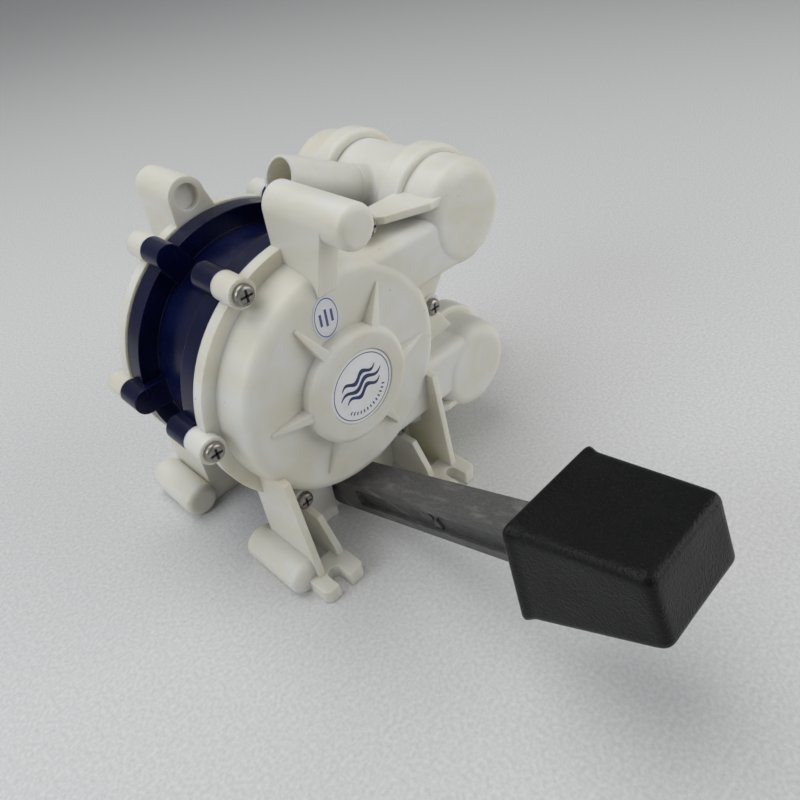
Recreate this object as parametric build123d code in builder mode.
from build123d import *
from math import cos, radians, sin, tan
import os

# A foot-operated, double-acting diaphragm pump for a boat. Millimetres.
# +Z is up and the floor is Z = 0. The pedal points along -Y.
# The origin lies on the floor under the middle of the drum, midway between the front and rear feet.

# ---- drum: a clamp body between two covers, all on one axis along Y ----
drum_axis_z = 79.0
body_half = 24.2          # from the middle of the drum to the clamp body's joint face
body_flange_r = 56.2
body_flange_t = 8.6
barrel_r = 48.0
barrel_bore_r = 44.5
diaphragm_t = 1.6
diaphragm_rim_t = 1.0
screw_count = 6
screw_pcd_r = 58.0
screw_boss_r = 5.5
body_boss_length = 12.3

# ---- covers ----
cover_face = body_half + diaphragm_rim_t
cover_flange_r = 56.8
cover_flange_t = 5.4
cover_boss_end = 35.1
cover_wall = 3.0
dome_base_r = 52.0
dome_taper = 10.0
dome_front = 46.3
dome_edge_r = 6.0
hub_r = 24.5
hub_front = 52.6
hub_edge_r = 3.0
rib_end_r = 40.0
rib_height = 4.6
rib_root_w = 4.4
rib_tip_w = 1.2
chamber_r = 45.5

# ---- valve housings on the covers, to the right of the drum ----
valve_x = 74.4
valve_dz = 38.8
housing_r = 22.2
housing_edge_r = 7.0
collar_r = 25.3
collar_start = 16.9
collar_length = 10.7
collar_edge_r = 1.6
spigot_bore_r = 18.0
valve_bore_r = 14.5
spigot_end = 27.0
retainer_gap = 0.5
retainer_t = 3.5
valve_flange_t = 2.0
duct_screw_clear = 1.6
duct_bottom = 18.0
duct_edge_r = 5.0
duct_drop = 0.8
fin_t = 3.0
fin_z = 50.5              # from the drum's axis to the middle of a fin
fin_start_x = 27.0
fin_end_x = 62.0
fin_front = 45.0
gusset_x = 54.0

# ---- feet of the covers ----
skirt_t = 4.4
slot_half_gap = 10.5      # half the gap between the two skirts, which the pedal lever comes out of
foot_web_x = 41.5
foot_web_t = 3.0
foot_rib_x = 29.0
foot_slot_x = 37.0
foot_outer_x = 47.0
foot_inner_x = 26.0
foot_end = 65.1
foot_plate_t = 3.0
prong_t = 7.0
prong_start = 48.0
prong_corner_r = 3.2
foot_slot_w = 6.0
foot_slot_inner = 55.6
foot_rib_reach = 53.5
web_top_z = 57.0
web_top_reach = 49.6
web_low_reach = 56.6

# ---- mounting lugs: short tubes along Y ----
lug_r = 8.0
lug_core_r = 5.2
lug_end_wall = 4.0
lug_web_t = 9.0
front_lug_x = 0.4
front_lug_z = 148.0
rear_lug_x = -8.4
rear_lug_z = 142.6
low_lug_front_x = -46.3
low_lug_rear_x = -50.7
low_lug_z = 8.0
lug_edge_r = 3.0
front_lug_end = 65.6
rear_lug_end = 53.0
low_lug_start = 20.6
low_lug_front_end = 53.6
low_lug_rear_end = 53.4
front_web_foot_reach = 47.0
front_web_reach = 55.5
rear_web_reach = 50.0
rear_lug_recess = 3.0
rear_leg_t = 6.0

# ---- screws ----
screw_r = 2.1
screw_hole_r = 2.3
screw_head_r = 4.0
screw_head_h = 2.6
screw_bite = 10.8
recess_depth = 1.5
recess_l = 5.0
recess_w = 1.1

# ---- tees: they turn in the collars ----
fit_gap = 0.05
tee_gap = 0.4
tee_r = 21.2
tee_bore_r = 14.0
tail_r = 9.5
tail_bore_r = 7.6
tail_length = 62.4
tail_stop_r = 10.1        # the shoulder that a hose is pushed up to
tail_stop_end = 26.0
tail_lead = 8.0
tail_lead_taper = 5.5
tail_root_r = 2.0
outlet_tail_deg = 154.0
inlet_tail_deg = -27.0
oring_wire_r = 1.3
oring_at = 22.0

# ---- duckbill valves ----
valve_flange_gap = 0.2
bill_r = 10.0
bill_length = 8.8
bill_wall = 1.5
bill_tip_t = 3.4
bill_slit = 0.4
retainer_bore_r = 13.0

# ---- pedal lever ----
lever_rise_deg = 20.4
lever_w = 16.3
lever_t = 15.0
lever_top_y = -36.1       # a point of the bar's top face, just in front of the drum
lever_top_z = 23.2
lever_heel = -14.0        # where the bar ends, along the bar from that point
lever_channel = 2.6
lever_ridge = 3.4
lever_channel_start = 6.0
pivot_y = -17.0
pivot_z = 14.5
pivot_pin_r = 3.0
bush_wall = 1.5
pivot_boss_r = 7.0
crank_back_y = 5.0
crank_bottom_z = 10.0
crank_top_z = 19.5
crank_rise_z = 24.0
cheek_gap = 1.3
cheek_t = 4.0
cheek_pin_r = 7.0
pin_overhang = 2.6
clip_t = 1.0
clip_r = 5.2
travel_deg = 15.0
fork_t = 10.0
fork_w = 16.6
fork_top = 9.0
fork_low = 14.0
fork_slot_low = 10.0      # the yoke pin slides 4.5 mm down the slot in a full stroke
yoke_pin_r = 4.0
fork_slot_gap = 0.4

# ---- foot pad: a tapered block in line with the lever ----
pad_back_y = -141.2
pad_back_z = 59.9
pad_rise_deg = 21.5
pad_length = 49.1
pad_back_tilt_deg = 11.5
pad_front_tilt_deg = 21.2
pad_back_w = 46.3
pad_back_h = 39.8
pad_front_w = 40.5
pad_front_h = 25.7
pad_wall = 3.0
pad_edge_r = 3.0
pad_lip = 0.9
pad_lip_t = 2.0
head_rib = 3.0
head_pocket_depth = 26.0
bar_into_head = 8.0

# ---- yoke and diaphragm plates ----
plate_r = 24.0
plate_t = 3.0
yoke_end = 18.9
yoke_end_t = 6.0
yoke_rail_t = 4.0
yoke_rail_h = 14.0
rail_gap = 0.6
centre_screw_r = 2.5
centre_head_r = 5.5
centre_head_h = 3.0
plate_edge_r = 1.0
rim_recess = 1.6

# ---- return spring in the front chamber ----
spring_r = 16.0
spring_wire_r = 0.9
spring_turns = 4
spring_end_gap = 0.3
spring_seat_gap = 0.7
spring_seat_t = 2.0
spring_seat_h = 3.0

# ---- printed discs ----
name_disc_r = 15.5
name_disc_t = 0.4
name_disc_recess = 0.8
sticker_long = 17.0
sticker_wide = 12.0
sticker_t = 0.15
sticker_r = 33.0
sticker_deg = 100.0

# ---- worked out from the values above ----
pin_height = drum_axis_z - pivot_z
half_travel = radians(travel_deg / 2)
yoke_rest = pivot_y + pin_height * tan(half_travel) - pivot_y / cos(half_travel)
flange_end = cover_face + cover_flange_t
chamber_end = dome_front - cover_wall
retainer_start = spigot_end + retainer_gap
valve_start = retainer_start + retainer_t
seat_at = valve_start + valve_flange_t
foot_rib_top = drum_axis_z - screw_pcd_r * sin(radians(60)) - screw_head_r - 0.5
barrel_low_z = drum_axis_z - barrel_r
cheek_bottom_z = pivot_z - cheek_pin_r
cheek_back_y = -tail_r - 0.4
seat_depth = diaphragm_t - diaphragm_rim_t
diaphragm_seat_r = barrel_r + 3.5
window_half = 11.0
duct_top = screw_pcd_r * sin(radians(60)) - screw_head_r - duct_screw_clear
spigot_r = spigot_bore_r - fit_gap
tee_half = collar_start - tee_gap
bush_r = pivot_pin_r + fit_gap + bush_wall
cheek_x = lever_w / 2 + cheek_gap
rail_x = lever_w / 2 + rail_gap
pedal = lever_rise_deg

# The drum's own plane: x to the right, y up, z towards the pedal.
drum = Plane(origin=(0, 0, drum_axis_z), x_dir=(1, 0, 0), z_dir=(0, -1, 0))
floor = Plane(origin=(0, 0, 0), x_dir=(1, 0, 0), z_dir=(0, -1, 0))
lever_plane = Plane(
    origin=(0, lever_top_y, lever_top_z),
    x_dir=(0, -cos(radians(pedal)), sin(radians(pedal))),
    z_dir=(-1, 0, 0),
)
housings = [(valve_x, valve_dz), (valve_x, -valve_dz)]

os.makedirs("parts", exist_ok=True)


def save(part, name):
    """Label a finished sub-part and write it as its own STEP file."""
    part.label = name
    export_step(part, f"parts/{name}.step")


def disc(plane, radius, length, at=((0, 0),), mode=Mode.ADD):
    """Round bosses or bores of one radius, along a plane's normal."""
    with BuildSketch(plane) as outline:
        with Locations(*at):
            Circle(radius)
    extrude(outline.sketch, amount=length, mode=mode)


def plate_x(points, x_centre, thickness, mode=Mode.ADD):
    """A flat web that stands across X, from its outline in (y, z)."""
    with BuildSketch(Plane.YZ.offset(x_centre)) as outline:
        with BuildLine():
            Polyline(*points, close=True)
        make_face()
    extrude(outline.sketch, amount=thickness / 2, both=True, mode=mode)


def plate_y(points, start, thickness, mode=Mode.ADD, plane=floor):
    """A flat plate that stands across Y, from its outline in (x, z)."""
    with BuildSketch(plane.offset(start)) as outline:
        with BuildLine():
            Polyline(*points, close=True)
        make_face()
    extrude(outline.sketch, amount=thickness, mode=mode)


def screw_points():
    """The six screw places round the drum's rim."""
    turn = 360 / screw_count
    return [
        (screw_pcd_r * cos(radians(turn * i)), screw_pcd_r * sin(radians(turn * i)))
        for i in range(screw_count)
    ]


def foot(side):
    """One foot of a cover: skirt, two sloping webs, a base plate and two prongs round an open slot."""
    skirt_top = drum_axis_z - cover_flange_r * 0.55
    plate_y(
        [
            (side * slot_half_gap, 0),
            (side * foot_web_x, 0),
            (side * foot_web_x, skirt_top),
            (side * slot_half_gap, skirt_top),
        ],
        cover_face,
        skirt_t,
    )
    plate_x(
        [
            (-cover_face, 0),
            (-web_low_reach, 0),
            (-web_low_reach, prong_t - 3),
            (-web_top_reach, web_top_z),
            (-cover_face, web_top_z),
        ],
        side * foot_web_x,
        foot_web_t,
    )
    plate_x(
        [
            (-cover_face, 0),
            (-foot_rib_reach, 0),
            (-foot_rib_reach, prong_t),
            (-foot_rib_reach + 1, prong_t + 4),
            (-foot_rib_reach + 9, foot_rib_top),
            (-cover_face, foot_rib_top),
        ],
        side * foot_rib_x,
        foot_web_t,
    )
    for start, thickness in ((cover_face, foot_plate_t), (prong_start, prong_t)):
        with BuildSketch(Plane.XY) as base:
            with Locations((side * (foot_outer_x + foot_inner_x) / 2, -(foot_end + start) / 2)):
                Rectangle(foot_outer_x - foot_inner_x, foot_end - start)
            fillet(base.vertices().group_by(Axis.Y)[0], prong_corner_r)
            slot_centre_y = -foot_slot_inner - foot_slot_w / 2
            with Locations((side * foot_slot_x, slot_centre_y)):
                Circle(foot_slot_w / 2, mode=Mode.SUBTRACT)
            with Locations((side * foot_slot_x, slot_centre_y - foot_slot_w)):
                Rectangle(foot_slot_w, 2 * foot_slot_w, mode=Mode.SUBTRACT)
        extrude(base.sketch, amount=thickness)


def lug_tube(length):
    """A mounting tube with a closed, rounded end, standing on the floor plane and pointing at -Y."""
    with BuildPart() as tube:
        disc(floor, lug_r, length)
        fillet(tube.faces().sort_by(Axis.Y)[0].edges(), lug_edge_r)
    return tube.part


# ---- the shape that both covers share, drawn as the front one ----
with BuildPart() as duct:
    with BuildSketch(drum.offset(cover_face)):
        with Locations((valve_x / 2, (duct_top + duct_bottom) / 2)):
            Rectangle(valve_x, duct_top - duct_bottom)
    extrude(amount=dome_front - duct_drop - cover_face)
    fillet(duct.faces().sort_by(Axis.Y)[0].edges().filter_by(Axis.X), duct_edge_r)

with BuildPart() as face_rib:
    with BuildSketch(Plane.YZ.offset(hub_r - 1)):
        with Locations((-dome_front - rib_height / 2, 0)):
            Rectangle(rib_height + 1, rib_root_w)
    with BuildSketch(Plane.YZ.offset(rib_end_r)):
        with Locations((-dome_front, 0)):
            Rectangle(1, rib_tip_w)
    loft()

front_tube = lug_tube(front_lug_end - cover_face).moved(Location((front_lug_x, -cover_face, front_lug_z)))
rear_tube = lug_tube(rear_lug_end - cover_face).moved(Location((rear_lug_x, -cover_face, rear_lug_z)))
low_front_tube = lug_tube(low_lug_front_end - low_lug_start)
low_front_tube = low_front_tube.moved(Location((low_lug_front_x, -low_lug_start, low_lug_z)))
low_rear_tube = lug_tube(low_lug_rear_end - low_lug_start)
low_rear_tube = low_rear_tube.moved(Location((low_lug_rear_x, low_lug_rear_end, low_lug_z)))

with BuildPart() as cover_shell:
    with BuildSketch(drum.offset(cover_face)):
        Circle(dome_base_r)
    extrude(amount=dome_front - cover_face, taper=dome_taper)
    fillet(cover_shell.faces().sort_by(Axis.Y)[0].edges(), dome_edge_r)
    disc(drum.offset(collar_start), housing_r, dome_front - collar_start, housings)
    housing_rims = cover_shell.edges().filter_by(GeomType.CIRCLE)
    housing_rims = housing_rims.filter_by(lambda e: abs(e.radius - housing_r) < 0.01)
    fillet(housing_rims.group_by(Axis.Y)[0], housing_edge_r)
    add(duct.part)
    add(mirror(duct.part, about=Plane.XY.offset(drum_axis_z)))
    disc(drum.offset(collar_start), collar_r, collar_length, housings)
    collar_rims = cover_shell.edges().filter_by(GeomType.CIRCLE)
    collar_rims = collar_rims.filter_by(lambda e: abs(e.radius - collar_r) < 0.01)
    fillet(collar_rims, collar_edge_r)
    disc(drum.offset(cover_face), cover_flange_r, cover_flange_t)
    disc(drum.offset(body_half), screw_boss_r, cover_boss_end - body_half, screw_points())
    disc(drum.offset(dome_front - 1), hub_r, hub_front - dome_front + 1)
    hub_rim = cover_shell.faces().sort_by(Axis.Y)[0].edges()
    fillet(hub_rim, hub_edge_r)
    for i in range(screw_count):
        add(face_rib.part.rotate(Axis.Y, -360 / screw_count * i).moved(Location((0, 0, drum_axis_z))))
    # fins that tie two screw bosses to the valve housings
    for up in (1, -1):
        with BuildSketch(Plane.XY.offset(drum_axis_z + up * fin_z)) as fin:
            with BuildLine():
                Polyline(
                    (fin_start_x, -cover_face),
                    (fin_end_x, -cover_face),
                    (fin_end_x, -fin_front),
                    (fin_end_x - 8, -fin_front),
                    (fin_start_x + 9, -cover_boss_end - 2.4),
                    (fin_start_x + 7, -cover_boss_end),
                    (fin_start_x, -cover_boss_end + 1),
                    close=True,
                )
            make_face()
        extrude(fin.sketch, amount=fin_t / 2, both=True)
        # gussets from the screw boss between the housings to each housing
        plate_y(
            [
                (gusset_x, 0),
                (gusset_x + 8, up * 3.5),
                (gusset_x + 18, up * 18),
                (gusset_x, up * 18),
            ],
            cover_face,
            cover_boss_end - cover_face - 1,
            plane=drum,
        )
    for side in (1, -1):
        foot(side)
    # water spaces
    disc(drum.offset(cover_face), chamber_r, chamber_end - cover_face, mode=Mode.SUBTRACT)
    disc(drum.offset(collar_start), spigot_bore_r, seat_at - collar_start, housings, Mode.SUBTRACT)
    disc(drum.offset(seat_at), valve_bore_r, chamber_end - seat_at, housings, Mode.SUBTRACT)
    for up in (1, -1):
        with BuildSketch(drum.offset(seat_at + cover_wall)) as passage:
            with Locations((valve_x / 2, up * (duct_top + duct_bottom) / 2)):
                Rectangle(valve_x, duct_top - duct_bottom - 2 * cover_wall)
        extrude(passage.sketch, amount=chamber_end - seat_at - cover_wall, mode=Mode.SUBTRACT)
    disc(drum.offset(body_half), screw_hole_r, cover_boss_end, screw_points(), Mode.SUBTRACT)
    rim_gap = cover_flange_r - rim_recess + 0.1
    disc(drum.offset(body_half), rim_gap, diaphragm_rim_t, mode=Mode.SUBTRACT)
    disc(drum.offset(hub_front - name_disc_recess), name_disc_r + 0.3, 2, mode=Mode.SUBTRACT)


# ---- the two covers ----
with BuildPart() as front_cover:
    add(cover_shell.part)
    web_foot = drum_axis_z + dome_base_r * 0.8
    plate_x(
        [
            (-cover_face, web_foot),
            (-front_web_foot_reach, web_foot),
            (-front_web_reach, front_lug_z),
            (-cover_face, front_lug_z),
        ],
        front_lug_x - lug_r + lug_web_t / 2,
        lug_web_t,
    )
    add(front_tube)
    add(low_front_tube)
    disc(drum.offset(cover_face), chamber_r, chamber_end - cover_face, mode=Mode.SUBTRACT)
    for x, z, start, end in (
        (front_lug_x, front_lug_z, cover_face, front_lug_end),
        (low_lug_front_x, low_lug_z, low_lug_start, low_lug_front_end),
    ):
        disc(floor.offset(start), lug_core_r, end - start - lug_end_wall, ((x, z),), Mode.SUBTRACT)
    # ring that centres the return spring
    with BuildSketch(drum.offset(chamber_end - spring_seat_h)) as seat:
        Circle(spring_r - spring_wire_r - spring_seat_gap)
        Circle(spring_r - spring_wire_r - spring_seat_gap - spring_seat_t, mode=Mode.SUBTRACT)
    extrude(seat.sketch, amount=spring_seat_h)
save(front_cover.part, "front_cover")

with BuildPart() as rear_cover:
    add(mirror(cover_shell.part, about=Plane.XZ))
    web_foot = drum_axis_z + dome_base_r * 0.8
    plate_y(
        [
            (rear_lug_x - lug_r, web_foot),
            (rear_lug_x + 2 * lug_r, web_foot),
            (rear_lug_x + lug_r * 0.8, rear_lug_z + lug_r * 0.6),
            (rear_lug_x - lug_r, rear_lug_z),
        ],
        -cover_face,
        -rear_leg_t,
    )
    plate_x(
        [
            (cover_face, web_foot),
            (rear_web_reach, web_foot),
            (rear_web_reach, rear_lug_z),
            (cover_face, rear_lug_z),
        ],
        rear_lug_x - lug_r + lug_web_t / 2,
        lug_web_t,
    )
    add(mirror(rear_tube, about=Plane.XZ))
    add(low_rear_tube)
    disc(drum.offset(-chamber_end), chamber_r, chamber_end - cover_face, mode=Mode.SUBTRACT)
    recess = floor.offset(-cover_face - rear_lug_recess)
    disc(recess, lug_core_r, rear_lug_recess, ((rear_lug_x, rear_lug_z),), Mode.SUBTRACT)
    core = low_lug_rear_end - low_lug_start - lug_end_wall
    disc(floor.offset(-low_lug_rear_end), lug_core_r, core, ((low_lug_rear_x, low_lug_z),), Mode.SUBTRACT)
save(rear_cover.part, "rear_cover")

# ---- clamp body: barrel, two flanges, screw bosses with gussets, and the lever box below ----
with BuildPart() as boss_gusset:
    with BuildSketch(drum.offset(body_half - body_boss_length)):
        with BuildLine():
            Polyline(
                (barrel_r - 2, -screw_boss_r),
                (screw_pcd_r, -screw_boss_r),
                (screw_pcd_r, screw_boss_r),
                (barrel_r - 2, screw_boss_r),
                close=True,
            )
        make_face()
    extrude(amount=body_boss_length - 1)

with BuildPart() as clamp_body:
    disc(drum.offset(-body_half), barrel_r, 2 * body_half)
    for start in (-body_half, body_half - body_flange_t):
        disc(drum.offset(start), body_flange_r, body_flange_t)
    for start in (-body_half, body_half - body_boss_length):
        disc(drum.offset(start), screw_boss_r, body_boss_length, screw_points())
    for i in range(screw_count):
        gusset = boss_gusset.part.moved(Location((0, 0, -drum_axis_z))).rotate(Axis.Y, -360 / screw_count * i)
        gusset = gusset.moved(Location((0, 0, drum_axis_z)))
        add(gusset)
        add(mirror(gusset, about=Plane.XZ))
    for side in (1, -1):
        cheek_outline = [
            (-body_half, cheek_bottom_z),
            (cheek_back_y, cheek_bottom_z),
            (cheek_back_y, barrel_low_z + 6),
            (-body_half, barrel_low_z + 6),
        ]
        plate_x(cheek_outline, side * (cheek_x + cheek_t / 2), cheek_t)
    disc(drum.offset(-body_half), barrel_bore_r, 2 * body_half, mode=Mode.SUBTRACT)
    # seats for the diaphragms' outer parts
    for start in (-body_half, body_half - seat_depth):
        disc(drum.offset(start), diaphragm_seat_r, seat_depth, mode=Mode.SUBTRACT)
    with BuildSketch(floor.offset(-window_half)) as window:
        with Locations((0, barrel_low_z)):
            Rectangle(2 * cheek_x, 2 * barrel_r - 2 * barrel_bore_r + 12)
    extrude(window.sketch, amount=2 * window_half, mode=Mode.SUBTRACT)
    for start in (-body_half, body_half - screw_bite - 1):
        disc(drum.offset(start), screw_r + 0.05, screw_bite + 1, screw_points(), Mode.SUBTRACT)
    with BuildSketch(Plane.YZ.offset(-cheek_x - cheek_t)) as pin_hole:
        with Locations((pivot_y, pivot_z)):
            Circle(pivot_pin_r)
    extrude(pin_hole.sketch, amount=2 * (cheek_x + cheek_t), mode=Mode.SUBTRACT)
save(clamp_body.part, "clamp_body")

# ---- screws: the same screw, six from each side ----
with BuildPart() as cover_screw:
    disc(drum.offset(cover_boss_end), screw_head_r, screw_head_h)
    fillet(cover_screw.faces().sort_by(Axis.Y)[0].edges(), screw_head_h * 0.6)
    disc(drum.offset(body_half - screw_bite), screw_r, cover_boss_end - body_half + screw_bite)
    with BuildSketch(drum.offset(cover_boss_end + screw_head_h - recess_depth)) as cross:
        Rectangle(recess_l, recess_w)
        Rectangle(recess_w, recess_l)
    extrude(cross.sketch, amount=recess_depth + 1, mode=Mode.SUBTRACT)

with BuildPart() as front_cover_screws:
    for x, z in screw_points():
        add(cover_screw.part.moved(Location((x, 0, z))))
save(front_cover_screws.part, "front_cover_screws")
save(mirror(front_cover_screws.part, about=Plane.XZ), "rear_cover_screws")

# ---- moving set: yoke, plates and diaphragms, drawn at the pedal's rest ----
middle = drum.offset(-yoke_rest)


def yoke_block(start, length):
    """One end block of the yoke."""
    with BuildSketch(middle.offset(start)) as outline:
        Rectangle(2 * (rail_x + yoke_rail_t), yoke_rail_h)
    extrude(outline.sketch, amount=length)


with BuildPart() as yoke:
    yoke_block(yoke_end - yoke_end_t, yoke_end_t)
    yoke_block(-yoke_end, yoke_end_t)
    with BuildSketch(middle.offset(-yoke_end)) as rails:
        with Locations((rail_x + yoke_rail_t / 2, 0), (-rail_x - yoke_rail_t / 2, 0)):
            Rectangle(yoke_rail_t, yoke_rail_h)
    extrude(rails.sketch, amount=2 * yoke_end)
    disc(middle.offset(-yoke_end), centre_screw_r, yoke_end_t, mode=Mode.SUBTRACT)
    disc(middle.offset(yoke_end - yoke_end_t), centre_screw_r, yoke_end_t, mode=Mode.SUBTRACT)
    with BuildSketch(Plane.YZ.offset(-rail_x - yoke_rail_t)) as pin_holes:
        with Locations((yoke_rest, drum_axis_z)):
            Circle(yoke_pin_r)
    extrude(pin_holes.sketch, amount=2 * (rail_x + yoke_rail_t), mode=Mode.SUBTRACT)
save(yoke.part, "yoke")

with BuildPart() as yoke_pin:
    with BuildSketch(Plane.YZ.offset(-rail_x - yoke_rail_t)):
        with Locations((yoke_rest, drum_axis_z)):
            Circle(yoke_pin_r)
    extrude(amount=2 * (rail_x + yoke_rail_t))
save(yoke_pin.part, "yoke_pin")

for name, way in (("front", 1), ("rear", -1)):
    side = Plane(origin=(0, yoke_rest, drum_axis_z), x_dir=(1, 0, 0), z_dir=(0, -way, 0))
    with BuildPart() as inner_plate:
        disc(side.offset(yoke_end), plate_r, plate_t)
        fillet(inner_plate.edges().filter_by(GeomType.CIRCLE), plate_edge_r)
        disc(side.offset(yoke_end), centre_screw_r + 0.1, plate_t, mode=Mode.SUBTRACT)
    save(inner_plate.part, f"{name}_inner_plate")

    with BuildPart() as outer_plate:
        disc(side.offset(yoke_end + plate_t + diaphragm_t), plate_r, plate_t)
        fillet(outer_plate.edges().filter_by(GeomType.CIRCLE), plate_edge_r)
        disc(side.offset(yoke_end + plate_t), centre_screw_r + 0.1, 2 * plate_t, mode=Mode.SUBTRACT)
    save(outer_plate.part, f"{name}_outer_plate")

    with BuildPart() as centre_screw:
        head_at = yoke_end + 2 * plate_t + diaphragm_t
        disc(side.offset(head_at), centre_head_r, centre_head_h)
        disc(side.offset(yoke_end - yoke_end_t), centre_screw_r, head_at - yoke_end + yoke_end_t)
        with BuildSketch(side.offset(head_at + centre_head_h - recess_depth)) as hex_socket:
            RegularPolygon(centre_screw_r, 6)
        extrude(hex_socket.sketch, amount=recess_depth + 1, mode=Mode.SUBTRACT)
    save(centre_screw.part, f"{name}_centre_screw")

    # The rubber runs from its clamped rim through one roll to the plates.
    rim_y = -way * (body_half - seat_depth)
    centre_y = yoke_rest - way * (yoke_end + plate_t)
    with BuildPart() as diaphragm:
        with BuildSketch(Plane.YZ) as section:
            with BuildLine():
                inside = Spline(
                    (rim_y, drum_axis_z + barrel_bore_r - 1),
                    (centre_y, drum_axis_z + plate_r),
                    tangents=((0, -1), (0, -1)),
                )
                Line(inside @ 1, (centre_y, drum_axis_z + centre_screw_r + 0.1))
                Line((centre_y, drum_axis_z + centre_screw_r + 0.1),
                     (centre_y - way * diaphragm_t, drum_axis_z + centre_screw_r + 0.1))
                Line((centre_y - way * diaphragm_t, drum_axis_z + centre_screw_r + 0.1),
                     (centre_y - way * diaphragm_t, drum_axis_z + plate_r))
                outside = Spline(
                    (centre_y - way * diaphragm_t, drum_axis_z + plate_r),
                    (rim_y - way * diaphragm_t, drum_axis_z + barrel_bore_r - 1),
                    tangents=((0, 1), (0, 1)),
                )
                rim_r = cover_flange_r - rim_recess
                Polyline(
                    outside @ 1,
                    (rim_y - way * diaphragm_t, drum_axis_z + rim_r),
                    (-way * body_half, drum_axis_z + rim_r),
                    (-way * body_half, drum_axis_z + diaphragm_seat_r),
                    (rim_y, drum_axis_z + diaphragm_seat_r),
                    inside @ 0,
                )
            make_face()
        revolve(axis=Axis((0, 0, drum_axis_z), (0, 1, 0)))
    save(diaphragm.part, f"{name}_diaphragm")

# ---- pedal lever: a bell crank, drawn at rest ----
pad_plane = Plane(
    origin=(0, pad_back_y, pad_back_z),
    x_dir=(1, 0, 0),
    z_dir=(0, -cos(radians(pad_back_tilt_deg)), sin(radians(pad_back_tilt_deg))),
)
pad_front_plane = Plane(
    origin=(
        0,
        pad_back_y - pad_length * cos(radians(pad_rise_deg)),
        pad_back_z + pad_length * sin(radians(pad_rise_deg)),
    ),
    x_dir=(1, 0, 0),
    z_dir=(0, -cos(radians(pad_front_tilt_deg)), sin(radians(pad_front_tilt_deg))),
)
lean = travel_deg / 2
fork_plane = Plane(
    origin=(0, yoke_rest, drum_axis_z),
    x_dir=(0, cos(radians(lean)), -sin(radians(lean))),
    z_dir=(1, 0, 0),
)
arm_low = -(drum_axis_z - crank_rise_z) / cos(radians(lean))
bar_end = (lever_top_y - pad_back_y) / cos(radians(pedal)) + bar_into_head
slot_w = 2 * (yoke_pin_r + fork_slot_gap)


def pad_block(inset):
    """The tapered block of the foot pad, or of the lever's head inside it."""
    with BuildPart() as block:
        with BuildSketch(pad_plane):
            Rectangle(pad_back_w - 2 * inset, pad_back_h - 2 * inset)
        with BuildSketch(pad_front_plane.offset(-inset)):
            Rectangle(pad_front_w - 2 * inset, pad_front_h - 2 * inset)
        loft()
        fillet(block.edges() - block.faces().sort_by(Axis.Y)[-1].edges(), pad_edge_r - inset / 2)
    return block.part


lever_head = pad_block(pad_wall)
pad_outside = pad_block(0)

with BuildPart() as lever:
    with BuildSketch(lever_plane) as bar:
        with Locations(((lever_heel + bar_end) / 2, -lever_t / 2)):
            Rectangle(bar_end - lever_heel, lever_t)
    extrude(bar.sketch, amount=lever_w / 2, both=True)
    heel_top = lever_plane.from_local_coords((lever_heel, 0, 0))
    heel_bottom = lever_plane.from_local_coords((lever_heel, -lever_t, 0))
    arm_front = fork_plane.from_local_coords((-fork_t / 2, arm_low, 0))
    arm_back = fork_plane.from_local_coords((fork_t / 2, arm_low, 0))
    with BuildSketch(Plane.YZ) as crank:
        with BuildLine():
            Polyline(
                (heel_top.Y, heel_top.Z),
                (pivot_y, pivot_z + pivot_boss_r),
                (arm_front.Y - fork_t / 2, crank_top_z),
                (arm_front.Y, arm_front.Z),
                (arm_back.Y, arm_back.Z),
                (crank_back_y, crank_bottom_z),
                (pivot_y, pivot_z - pivot_boss_r),
                (heel_bottom.Y, heel_bottom.Z),
                close=True,
            )
        make_face()
        with Locations((pivot_y, pivot_z)):
            Circle(pivot_boss_r)
    extrude(crank.sketch, amount=lever_w / 2, both=True)
    with BuildSketch(fork_plane) as arm:
        with Locations((0, (arm_low - fork_low + 1) / 2)):
            Rectangle(fork_t, -arm_low - fork_low + 3)
        with Locations((0, (fork_top - fork_low) / 2)):
            Rectangle(fork_w, fork_top + fork_low)
        fillet(arm.vertices(), 1.5)
    extrude(arm.sketch, amount=lever_w / 2, both=True)
    with BuildSketch(fork_plane) as slot:
        with Locations((0, (fork_top + 1 - fork_slot_low) / 2)):
            Rectangle(slot_w, fork_top + 1 + fork_slot_low)
    extrude(slot.sketch, amount=lever_w, both=True, mode=Mode.SUBTRACT)
    # channels along both sides of the bar
    for side in (1, -1):
        with BuildSketch(lever_plane.offset(side * lever_w / 2)) as channel:
            with Locations(((lever_channel_start + bar_end - bar_into_head) / 2, -lever_t / 2)):
                Rectangle(bar_end - bar_into_head - lever_channel_start, lever_t - 2 * lever_ridge)
            fillet(channel.vertices(), 1.5)
        extrude(channel.sketch, amount=-side * lever_channel, mode=Mode.SUBTRACT)
    add(lever_head)
    with BuildSketch(pad_plane) as pockets:
        side_w = (pad_back_w - 2 * pad_wall - lever_w) / 2 - 2 * head_rib
        for side in (1, -1):
            with Locations((side * (lever_w / 2 + head_rib + side_w / 2), 0)):
                Rectangle(side_w, pad_back_h - 2 * pad_wall - 2 * head_rib)
        fillet(pockets.vertices(), 1)
    extrude(pockets.sketch, amount=head_pocket_depth, taper=8, mode=Mode.SUBTRACT)
    with BuildSketch(Plane.YZ) as bush_hole:
        with Locations((pivot_y, pivot_z)):
            Circle(bush_r)
    extrude(bush_hole.sketch, amount=lever_w, both=True, mode=Mode.SUBTRACT)
save(lever.part, "lever")

with BuildPart() as foot_pad:
    add(pad_outside)
    with BuildSketch(pad_plane) as lip:
        RectangleRounded(pad_back_w + 2 * pad_lip, pad_back_h + 2 * pad_lip, pad_edge_r)
    extrude(lip.sketch, amount=pad_lip_t)
    add(lever_head, mode=Mode.SUBTRACT)
save(foot_pad.part, "foot_pad")

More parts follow.
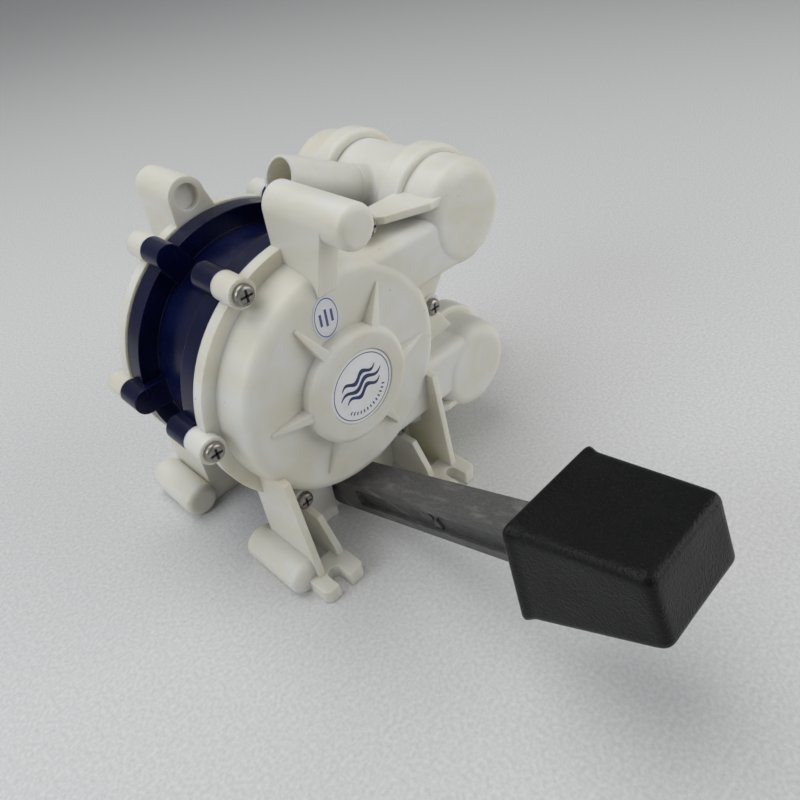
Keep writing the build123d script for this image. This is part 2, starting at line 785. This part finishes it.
with BuildPart() as pivot_bush:
    with BuildSketch(Plane.YZ):
        with Locations((pivot_y, pivot_z)):
            Circle(bush_r)
            Circle(pivot_pin_r + fit_gap, mode=Mode.SUBTRACT)
    extrude(amount=lever_w / 2, both=True)
save(pivot_bush.part, "pivot_bush")

with BuildPart() as pivot_pin:
    with BuildSketch(Plane.YZ):
        with Locations((pivot_y, pivot_z)):
            Circle(pivot_pin_r)
    extrude(amount=cheek_x + cheek_t + pin_overhang, both=True)
    chamfer(pivot_pin.edges().filter_by(GeomType.CIRCLE), 0.5)
save(pivot_pin.part, "pivot_pin")

with BuildPart() as pin_clips:
    for side in (1, -1):
        with BuildSketch(Plane.YZ.offset(side * (cheek_x + cheek_t))) as clip:
            with Locations((pivot_y, pivot_z)):
                Circle(clip_r)
                Circle(pivot_pin_r, mode=Mode.SUBTRACT)
        extrude(clip.sketch, amount=side * clip_t)
save(pin_clips.part, "pin_clips")

# ---- return spring: open coils between the front outer plate and the cover ----
spring_from = yoke_end + 2 * plate_t + diaphragm_t - yoke_rest + spring_end_gap + spring_wire_r
spring_to = chamber_end - spring_end_gap - spring_wire_r
with BuildPart() as spring_upright:
    with BuildLine() as coil:
        Helix((spring_to - spring_from) / spring_turns, spring_to - spring_from, spring_r)
    with BuildSketch(Plane(origin=coil.line @ 0, z_dir=coil.line % 0)):
        Circle(spring_wire_r)
    sweep(path=coil.line, is_frenet=True)
return_spring = spring_upright.part.rotate(Axis.X, 90).moved(Location((0, -spring_from, drum_axis_z)))
save(return_spring, "return_spring")


def spout(plane, radius, tip, start):
    """A round spout that narrows to a flat lip, along a plane's normal."""
    end = valve_flange_t + bill_length
    with BuildPart() as narrowing:
        disc(plane.offset(start), radius, end - start)
        with BuildSketch(Plane(origin=plane.origin, x_dir=plane.z_dir, z_dir=(1, 0, 0))) as wedge:
            with BuildLine():
                Polyline((start, -radius), (start, radius), (end, tip / 2), (end, -tip / 2), close=True)
            make_face()
        extrude(wedge.sketch, amount=radius, both=True, mode=Mode.INTERSECT)
    return narrowing.part


# ---- the tees, their O-rings, and the valves ----
for name, z, tail_deg in (("outlet", valve_dz, outlet_tail_deg), ("inlet", -valve_dz, inlet_tail_deg)):
    axis_z = drum_axis_z + z
    run = Plane(origin=(valve_x, 0, axis_z), x_dir=(1, 0, 0), z_dir=(0, -1, 0))
    tail = Plane(
        origin=(valve_x, 0, axis_z),
        x_dir=(0, 1, 0),
        z_dir=(cos(radians(tail_deg)), 0, sin(radians(tail_deg))),
    )
    with BuildPart() as tee:
        disc(run.offset(-tee_half), tee_r, 2 * tee_half)
        disc(tail, tail_stop_r, tail_stop_end)
        root = tee.edges().filter_by(GeomType.BSPLINE)
        fillet(root, tail_root_r)
        disc(tail, tail_r, tail_length - tail_lead)
        with BuildSketch(tail.offset(tail_length - tail_lead)) as tip:
            Circle(tail_r)
        extrude(tip.sketch, amount=tail_lead, taper=tail_lead_taper)
        disc(run.offset(-spigot_end), spigot_r, 2 * spigot_end)
        for side in (1, -1):
            with BuildSketch(run.offset(side * oring_at - oring_wire_r)) as groove:
                Circle(spigot_r)
                Circle(spigot_r - 2 * oring_wire_r, mode=Mode.SUBTRACT)
            extrude(groove.sketch, amount=2 * oring_wire_r, mode=Mode.SUBTRACT)
        disc(run.offset(-spigot_end), tee_bore_r, 2 * spigot_end, mode=Mode.SUBTRACT)
        disc(tail, tail_bore_r, tail_length + 1, mode=Mode.SUBTRACT)
    save(tee.part, f"{name}_tee")

    with BuildPart() as orings:
        for side in (1, -1):
            with BuildSketch(Plane.YZ.offset(valve_x)) as wire:
                with Locations((side * oring_at, axis_z + spigot_r - oring_wire_r)):
                    Circle(oring_wire_r)
            revolve(wire.sketch, axis=Axis((valve_x, 0, axis_z), (0, 1, 0)))
    save(orings.part, f"{name}_tee_orings")

    for end, way in (("front", 1), ("rear", -1)):
        side = Plane(origin=(valve_x, 0, axis_z), x_dir=(1, 0, 0), z_dir=(0, -way, 0))
        if name == "outlet":
            bill = side.offset(valve_start + valve_flange_t)
            bill = Plane(origin=bill.origin, x_dir=bill.x_dir, z_dir=-bill.z_dir)
        else:
            bill = side.offset(valve_start)
        with BuildPart() as valve:
            disc(side.offset(valve_start), spigot_bore_r - valve_flange_gap, valve_flange_t)
            add(spout(bill, bill_r, bill_tip_t, valve_flange_t))
            add(spout(bill, bill_r - bill_wall, bill_slit, 0), mode=Mode.SUBTRACT)
        save(valve.part, f"{name}_valve_{end}")

        with BuildPart() as retainer:
            with BuildSketch(side.offset(retainer_start)):
                Circle(spigot_bore_r)
                Circle(retainer_bore_r, mode=Mode.SUBTRACT)
            extrude(amount=retainer_t)
        save(retainer.part, f"{name}_valve_ring_{end}")

# ---- printed discs ----
with BuildPart() as name_disc:
    disc(drum.offset(hub_front - name_disc_recess), name_disc_r, name_disc_t)
save(name_disc.part, "name_disc")

with BuildPart() as check_sticker:
    with BuildSketch(drum.offset(dome_front)):
        with Locations((sticker_r * cos(radians(sticker_deg)), sticker_r * sin(radians(sticker_deg)))):
            Ellipse(sticker_wide / 2, sticker_long / 2)
    extrude(amount=sticker_t)
save(check_sticker.part, "check_sticker")
